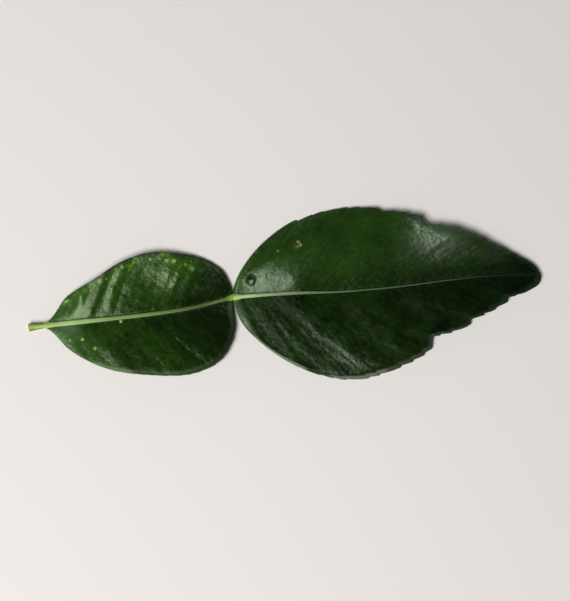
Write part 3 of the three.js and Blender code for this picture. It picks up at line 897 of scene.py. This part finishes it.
def spots_glints_and_shade(p, s, look, green):
    outer = s.across.step(*OUTER_PART) * s.along.step(*look["spots_along"])
    blobs = (p.cells(s.place, BLOB_SCALE) + s.mottle * BLOB_RAGGED).step(*BLOB_SIZE)
    green = p.mix(blobs * outer * BLOB_STRENGTH, green, look["spots"])
    # Small pale specks near the +Y margin. On the wing they are painted glints, highlights on small bumps.
    specks_and_glints = p.cells(s.place, SPECK_SCALE) + s.mottle * SPECK_RAGGED + s.grain * SPECK_GRAIN
    green = p.mix(specks_and_glints.step(*SPECK_SIZE) * outer * SPECK_STRENGTH, green, look["specks_and_glints"])
    green = p.mix(s.along.step(*look["dusk_along"]) * (1 - outer) * DUSK, green, look["groove"])
    # Painted shade on the -Y half, which turns away from the light, towards the far end of each piece.
    return p.mix(s.along.step(*look["gloom_along"]) * s.shady * GLOOM, green, look["groove"])


# %% [markdown]
# ## Painted sheen: bloom patches and pale rims
#
# Patches a few millimetres wide are painted with a whitish sheen, a painted highlight, and their gloss is
# made duller and softer, as under a wax bloom. Three stretches of the rolled -Y margin, where the edge faces
# the light, are painted pale as well, as a painted highlight. Both are listed one by one: a middle, a reach
# in millimetres and a strength. The mask of the sheen patches is kept, because the gloss and the relief
# are softer under it.

# %% Painted sheen and bloom
SHEEN_EVEN, SHEEN_MOTTLED = 0.6, 0.8
RIM_SHEEN_WIDTH, RIM_SHEEN_FADE = (1.7, 1.1), 2


def sheen_and_bloom_mask(p, s, look):
    sheen_and_bloom = 0
    for x, y, reach, strength in look["sheen_and_bloom"]:
        sheen_and_bloom = p.distance(s.place, x, y).step(reach, 0) * strength + sheen_and_bloom
    return sheen_and_bloom


def painted_sheen_patches(p, s, look, green, sheen_and_bloom):
    # Painted sheen: a whitish highlight painted over the patches.
    green = p.mix(sheen_and_bloom * (SHEEN_EVEN + s.mottle * SHEEN_MOTTLED), green, look["painted_sheen"])
    # Painted highlight: pale stretches of the rolled -Y margin, where the edge faces the light.
    for x, y, reach, strength in look["rim_sheens"]:
        patch = p.distance(s.place, x, y).step(reach, reach - RIM_SHEEN_FADE) * s.edge.step(*RIM_SHEEN_WIDTH)
        green = p.mix(patch * strength, green, look["rim_sheen"])
    return green


# %% [markdown]
# ## The midrib
#
# The midrib is a pale yellow-green cord that thins and darkens towards the tip. Its colours are the stops of
# a ramp along the leaf, in millimetres from the cut end, and fine streaks run down its length. Its +Y side,
# turned away from the light, is painted in shade, and near the joint the blade's palest stops hold a
# painted highlight.

# %% The midrib's colour
RIB_SHADE_SIDE, STREAK_STRENGTH = (0.0, 0.05), 0.35


def cord_over(p, s, look, green):
    stops = [(x / LEAF_LENGTH, colour(*shade)) for x, shade in look["cord"]]
    pale = p.node("ShaderNodeValToRGB", {"stops": stops}, {"Fac": s.along * (1 / LEAF_LENGTH)}, "Color")
    # Fine streaks, and painted shade on the +Y side of the cord.
    streaks_and_shade = s.streaks * STREAK_STRENGTH + s.across.step(*RIB_SHADE_SIDE) * STREAK_STRENGTH
    cord = p.mix(streaks_and_shade * s.along.step(*look["streak_and_shade_along"]), pale, look["streak_and_shade"])
    return p.mix(s.rib.step(*look["cord_width"]), green, cord)


# %% [markdown]
# ## Marks
#
# A grown leaf carries corky specks, old bites and a healed wound, and on the wing a row of small painted
# glints lies along the +Y margin. Each mark is a place, an inner and an outer radius, a strength and a
# colour, and noise makes its outline ragged. A mark with an inner radius is a ring. Marks are dull, so
# their mask also goes to the roughness.

# %% Specks and scars
WOBBLE, FINE_WOBBLE = 0.6, 1.1
FADE_START, FADE_END, RING_FADE = 1.2, 0.45, 0.7


def marks_over(p, s, look, top):
    wobble = (s.mottle - NOISE_MEAN) * WOBBLE + (s.grain - NOISE_MEAN) * FINE_WOBBLE
    dull = 0
    for x, y, inner, outer, strength, shade in look["marks"]:
        away = p.distance(s.place, x, y) + wobble
        mark = away.step(outer * FADE_START, outer * FADE_END) * strength
        if inner:
            mark = mark * away.step(inner * RING_FADE, inner)
        top = p.mix(mark, top, colour(*shade))
        dull = mark + dull
    return top, dull


# %% [markdown]
# ## Underside and gloss
#
# The underside is a paler, matt green with a net of lighter veins. Above, the wax gives a tight gloss that
# is duller at the margin, beside the midrib and where the leaf was rubbed. The relief under the gloss is a
# bump a tenth of a millimetre high: pebbles between the veins, dimples of glands and, on part of the leaf,
# brushed ridges. A bump costs no triangles, and is enough for forms too small to see in the outline.

# %% The underside's colour
UNDER_DARK, UNDER_LIGHT = colour(96, 122, 66), colour(118, 142, 84)
UNDER_VEIN, UNDER_RIB = colour(150, 166, 104), colour(158, 174, 104)
VEIN_PALE, NET_PALE, RIB_LINE = 0.7, 0.25, (0.1, 0.5)


def underside(p, s):
    under = p.mix(s.mottle, UNDER_DARK, UNDER_LIGHT)
    under = p.mix(s.vein * VEIN_PALE + s.net * NET_PALE, under, UNDER_VEIN)
    return p.mix(s.rib.step(*RIB_LINE), under, UNDER_RIB)


# %% Roughness
MATT = 0.55
FRAY_LINE, LOWER_FRAY, FRAY_STRENGTH, RIB_FRAY = (1.3, 0.3), (2.2, 1.0), 0.22, (0.7, 0.1)
RUBBED, MOTTLED_WEAR = (0.42, 0.75), 0.3
RIB_DULL, MARK_DULL, CALM_GLOSS, BLOOM_DULL, FOOT_DULL = 0.14, 0.5, 0.04, 0.12, 0.04


def roughness_of(s, look, sheen_and_bloom, dull):
    fray = s.edge.step(*FRAY_LINE) * FRAY_STRENGTH + s.edge.step(*LOWER_FRAY) * s.shady * FRAY_STRENGTH
    fray = fray + s.beside.step(*RIB_FRAY) * look["fray"]
    rubbed = s.brushed.step(*RUBBED) * look["wear"]
    worn = ((s.mottle - NOISE_MEAN) * MOTTLED_WEAR + rubbed) * (1 - s.shady * look["calm"])
    gloss = lerp(MATT, look["gloss"], s.upper)
    roughness = gloss + worn + s.rib * RIB_DULL + dull * MARK_DULL + fray
    roughness = roughness - s.shady * look["calm"] * CALM_GLOSS
    return sheen_and_bloom * BLOOM_DULL + s.along.step(*look["soft_along"]) * FOOT_DULL + roughness


# %% Relief under the gloss
BUMP_DEPTH = 0.1 * MM
BLOOM_SMOOTHS, GRAIN_RISE, GLAND_DEPTH, UNDER_NET_RISE, NET_TURN = 2, 0.05, 0.06, 0.3, 0.34


def relief_of(s, look, sheen_and_bloom):
    ridges = s.brushed * look["brushed"] * s.along.step(*look["brushed_along"]) * (1 - sheen_and_bloom * BLOOM_SMOOTHS)
    relief = ridges + s.pebbles * look["pebbles"] + s.grain * GRAIN_RISE - s.glands * GLAND_DEPTH
    return relief + s.net * (UNDER_NET_RISE - s.upper * NET_TURN)


# %% The leaf material
CUT_FACE, CUT_STRENGTH = colour(206, 216, 172), 0.9


def leaf_skin(name, look):
    material = bpy.data.materials.new(name)
    p = Paint(material)
    s = read_surface(p)
    sheen_and_bloom = sheen_and_bloom_mask(p, s, look)
    green = painted_rims_and_rib_shade(p, s, look, tissue(p, s, look))
    green = p.mix(s.along.step(*look["foot_along"]) * s.mottle, green, look["foot"])
    green = spots_glints_and_shade(p, s, look, green)
    green = painted_sheen_patches(p, s, look, green, sheen_and_bloom)
    top, dull = marks_over(p, s, look, cord_over(p, s, look, green))
    base = p.mix(s.upper, underside(p, s), top)
    base = p.mix(s.cut * CUT_STRENGTH, base, CUT_FACE)
    bump = p.node("ShaderNodeBump", {}, {"Height": relief_of(s, look, sheen_and_bloom), "Distance": BUMP_DEPTH})
    sockets = {"Base Color": base, "Roughness": roughness_of(s, look, sheen_and_bloom, dull), "Normal": bump}
    constants = {"IOR": look["ior"], "Specular Tint": look["wax"]}
    shader = p.node("ShaderNodeBsdfPrincipled", {}, sockets | constants)
    p.node("ShaderNodeOutputMaterial", {}, {"Surface": shader})
    print(f"{name}: {len(p.tree.nodes)} nodes")
    return material


# %% [markdown]
# ## The wing's own look
#
# One recipe serves both pieces, and each has its own greens. A pair such as `lit_side_along` says where an
# effect begins and where it is full, in millimetres from the cut end. Pairs that end in `across` do the
# same across the leaf, from -1 at the -Y margin to 1 at the other. The wing is the younger, yellower green,
# with pale spots and painted glints along its upper margin and a few corky specks.

# %% The petiole's material
petiole_look = {
    "shade": colour(13, 32, 5), "sun": colour(52, 88, 20), "lit_side_lean": 0.45, "patchy": 1.0,
    # The lit_side pairs paint the +Y half lighter, as where the light falls.
    "lit_side_across": (-0.1, 0.9), "lit_side_along": (43, 34),
    "dusk_along": (30, 40), "gloom_along": (25, 33),
    "vein": colour(84, 122, 52), "foot": colour(62, 100, 40), "foot_along": (15.5, 9),
    # `edge` is the pale margin with its painted highlight. `groove` is the dark green of the painted shade
    # and of the darkening towards the tip.
    "edge": colour(98, 124, 56), "groove": colour(8, 20, 4), "shaded_rim_along": (22, 30), "shaded_rim_width": (1.5, 0.5),
    "spots": colour(92, 136, 44), "specks_and_glints": colour(158, 196, 120), "spots_along": (39, 34),
    "painted_sheen": colour(118, 138, 108), "sheen_and_bloom": [(9, -1.5, 5, 0.25)],
    "rim_sheen": colour(112, 132, 96), "rim_sheens": [(19.5, -12.4, 6, 0.5)],
    "gloss": 0.19, "soft_along": (26, 14), "wear": 0.12, "calm": 0.75, "fray": 0.1,
    "ior": 1.43, "wax": (0.78, 1, 0.62, 1),
    "brushed": 0.18, "brushed_along": (48, 36), "pebbles": 0.7,
    "marks": [
        (12.8, -4, 0, 0.4, 0.7, (160, 190, 110)), (15.7, -6.4, 0, 0.5, 0.7, (150, 196, 84)),
        (9.8, -3.9, 0, 0.35, 0.7, (160, 180, 130)), (22.4, -0.6, 0, 0.4, 0.8, (190, 200, 150)),
        # From (24.2, 12.4) on, these marks along the +Y margin are painted glints: small highlights on bumps.
        (0.8, -0.5, 0, 0.6, 0.6, (120, 112, 52)), (24.2, 12.4, 0, 0.5, 0.5, (150, 186, 110)),
        (27, 13.3, 0, 0.4, 0.4, (134, 176, 92)), (31.1, 13.6, 0, 0.45, 0.5, (140, 180, 100)),
        (34.9, 12.9, 0, 0.5, 0.5, (160, 194, 124)), (36.7, 12.6, 0, 0.5, 0.5, (160, 194, 124)),
        (39.4, 11.5, 0, 0.45, 0.4, (140, 176, 96)), (41, 10.3, 0, 0.5, 0.4, (130, 166, 92)),
    ],
    "cord_width": (0.45, 0.75), "streak_and_shade": colour(110, 138, 62), "streak_and_shade_along": (60, 55),
    "cord": [
        (0, (176, 204, 100)), (5, (174, 208, 114)), (8.5, (186, 216, 148)), (12, (162, 192, 122)),
        (16, (148, 178, 108)), (20, (124, 154, 86)), (26, (120, 148, 82)), (32, (90, 120, 58)),
        (36, (78, 104, 46)), (40, (46, 66, 26)), (46, (56, 80, 34)), (48.2, (62, 88, 28)),
        (49.2, (120, 154, 46)), (50, (162, 200, 74)),
    ],
}
petiole.data.materials.append(leaf_skin("petiole_leaf", petiole_look))

# %% [markdown]
# ## The blade's own look
#
# The blade is the darker, bluer green. Patches of painted sheen, over a duller wax bloom, lie on the raised
# shoulder near the notch and faintly along three side veins. The scar has a dark ring round a pale middle,
# and two old bites lie near the upper margin.

# %% The blade's material
blade_look = {
    "shade": colour(6, 17, 2), "sun": colour(42, 73, 22), "lit_side_lean": 0.45, "patchy": 0.7,
    # The lit_side pairs paint the +Y half lighter, as where the light falls.
    "lit_side_across": (-0.15, 0.35), "lit_side_along": (100, 60),
    "dusk_along": (98, 115), "gloom_along": (74, 96),
    "vein": colour(66, 100, 46), "foot": colour(66, 104, 46), "foot_along": (52, 50),
    # `edge` is the pale margin with its painted highlight. `groove` is the dark green of the painted shade
    # and of the darkening towards the tip.
    "edge": colour(96, 116, 72), "groove": colour(4, 11, 3), "shaded_rim_along": (86, 96), "shaded_rim_width": (0.6, 0.15),
    "spots": colour(66, 100, 46), "specks_and_glints": colour(66, 100, 46), "spots_along": (60, 50),
    "painted_sheen": colour(112, 126, 108),
    "sheen_and_bloom": [
        (103.5, 13.5, 11, 0.24), (96, 10.5, 8, 0.1), (114, 8, 6, 0.07), (61.2, -0.4, 2.2, 0.09),
        (63, -1.8, 2.2, 0.07), (65, -3.6, 2.3, 0.08), (77.3, -2.4, 2.2, 0.04), (79.3, -4.6, 2.4, 0.06),
        (81.4, -6.8, 2.4, 0.06), (83.6, -9, 2.4, 0.05), (85.8, -10.8, 2.4, 0.04), (91.8, -2.8, 3, 0.03),
        (94.6, -4.8, 3, 0.04), (97, -7.2, 3, 0.03),
    ],
    "rim_sheen": colour(112, 128, 104), "rim_sheens": [(78.5, -19.7, 8, 0.6), (59.5, -12.6, 8.5, 0.8)],
    "gloss": 0.18, "soft_along": (70, 60), "wear": 0.11, "calm": 0.15, "fray": 0.08,
    "ior": 1.42, "wax": (0.76, 1, 0.72, 1),
    "brushed": 0.36, "brushed_along": (50, 68), "pebbles": 0.6,
    "marks": [
        (54.8, 5.8, 0, 0.6, 0.75, (150, 172, 140)), (54.7, 5.95, 0.75, 1.25, 1, (4, 9, 3)),
        (54.7, 6.7, 0, 0.7, 1, (3, 5, 2)), (66.4, 12.8, 0, 0.8, 0.5, (58, 66, 28)),
        (67.1, 14.1, 0, 0.4, 0.75, (140, 138, 92)), (67.5, 13.3, 0, 0.45, 0.8, (146, 140, 98)),
        (66.9, 13.1, 0, 0.35, 0.8, (140, 128, 80)), (62, 12.5, 0, 0.35, 0.6, (120, 140, 90)),
        (98.2, 16.3, 0, 0.7, 0.6, (120, 132, 96)), (99.2, 15.6, 0, 0.7, 0.6, (110, 124, 88)),
    ],
    "cord_width": (0.15, 0.6), "streak_and_shade": colour(90, 112, 70), "streak_and_shade_along": (117, 99),
    # Near the joint these stops are partly the cord's own colour and partly a painted highlight.
    "cord": [
        (50, (186, 222, 96)), (51.3, (194, 222, 134)), (53, (192, 216, 152)), (56, (168, 190, 136)),
        (60, (138, 158, 116)), (66, (112, 132, 88)), (76, (92, 110, 72)), (80.5, (66, 84, 48)),
        (86, (68, 85, 56)), (95, (68, 84, 58)), (105, (38, 52, 32)), (112, (20, 34, 14)),
        (117, (10, 22, 7)),
    ],
}
blade.data.materials.append(leaf_skin("blade_leaf", blade_look))

# %% [markdown]
# ## Each skin stands for its solid
#
# The plain solids stay in the frame for collision and are no longer shown.

# %% Tie the skins to the frame
for piece, node, slot in ((petiole, "winged_petiole", "petiole_leaf"), (blade, "leaf_blade", "blade_leaf")):
    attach(piece, "root")
    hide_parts(node)
    print(piece.name, "stands for", node)

# %% [markdown]
# ## Floor
#
# A plain pale sheet of paper, far larger than the leaf, carries the soft shadow. It lies a twentieth of a
# millimetre low, so that the leaf's lowest faces and the floor are never in the same plane, where they
# would flicker.

# %% Floor
FLOOR_HALF, FLOOR_DROP = 3.0, 0.05 * MM
FLOOR_COLOUR = (0.87, 0.842, 0.824, 1)
floor_mesh = bpy.data.meshes.new("floor")
corners = [(x * FLOOR_HALF, y * FLOOR_HALF, 0) for x, y in ((-1, -1), (1, -1), (1, 1), (-1, 1))]
floor_mesh.from_pydata(corners, [], [(0, 1, 2, 3)])
floor = bpy.data.objects.new("floor", floor_mesh)
floor.location.z = -FLOOR_DROP
bpy.context.scene.collection.objects.link(floor)
floor_mesh.materials.append(bpy.data.materials.new("floor_paper"))
paper = Paint(floor_mesh.materials[0])
paper_shader = paper.node("ShaderNodeBsdfPrincipled", {}, {"Base Color": FLOOR_COLOUR, "Roughness": 0.9})
paper.node("ShaderNodeOutputMaterial", {}, {"Surface": paper_shader})
print("floor, m across:", 2 * FLOOR_HALF)

# %% [markdown]
# ## Light
#
# One broad soft light, two thirds of the way up the sky, hangs over the stalk and the -Y side. Slopes that
# face it shine and those that turn away stay dark. The rest is a dim sky. Its top is kept darkest, because
# a glossy leaf seen from straight above mirrors what hangs over it.

# %% The soft light
def soft_light(name, azimuth, elevation, distance, size, watts, tint):
    light = bpy.data.lights.new(name, "AREA")
    light.shape, light.size, light.size_y = "RECTANGLE", size[0], size[1]
    light.energy, light.color = watts, tint
    lamp = bpy.data.objects.new(name, light)
    a, e = math.radians(azimuth), math.radians(elevation)
    lamp.location = distance * Vector((math.cos(a) * math.cos(e), math.sin(a) * math.cos(e), math.sin(e)))
    lamp.rotation_mode = "QUATERNION"
    lamp.rotation_quaternion = lamp.location.to_track_quat("Z", "Y")
    bpy.context.scene.collection.objects.link(lamp)
    return lamp


window = soft_light(
    "window", azimuth=215, elevation=60, distance=0.8, size=(0.5, 0.4), watts=6.3, tint=(1, 0.985, 0.96)
)
print("light at, m:", [round(side, 2) for side in window.location])

# %% The sky
HORIZON, ZENITH, BACKDROP = (0.55, 0.55, 0.56, 1), (0.02, 0.021, 0.022, 1), (0.8, 0.79, 0.78, 1)
ZENITH_FADE = (0.05, 0.7)

world = bpy.data.worlds.new("sky")
bpy.context.scene.world = world
sky = Paint(world)
direction = sky.node("ShaderNodeTexCoord", {}, {}, "Generated")
up = sky.node("ShaderNodeSeparateXYZ", {}, {"Vector": direction}, "Z")
dome = sky.mix(up.step(*ZENITH_FADE), HORIZON, ZENITH)
seen = sky.node("ShaderNodeLightPath", {}, {}, "Is Camera Ray")
background = sky.node("ShaderNodeBackground", {}, {"Color": sky.mix(seen, dome, BACKDROP)})
sky.node("ShaderNodeOutputWorld", {}, {"Surface": background})
print("sky nodes:", len(sky.tree.nodes))

# %% [markdown]
# ## Camera
#
# The camera looks straight down, turned a little so that the tip points slightly upwards in the frame, and
# stands off far enough that the whole leaf is in view with a margin.

# %% Camera
LENS, TURN, FRAME_ASPECT, FILL = 70, 5.83, 570 / 601, 0.9
NEAREST = 0.01
camera = bpy.data.objects.new("camera", bpy.data.cameras.new("camera"))
bpy.context.scene.collection.objects.link(camera)
camera.data.lens = LENS
frame_height = (cad_high - cad_low).x / FILL / FRAME_ASPECT
camera.location = (0, 0, frame_height * LENS / camera.data.sensor_width)
camera.rotation_euler = (0, 0, -math.radians(TURN))
camera.data.clip_start = NEAREST
bpy.context.scene.camera = camera
bpy.context.scene.view_settings.view_transform = "Standard"
print("camera height, mm:", round(camera.location.z / MM))
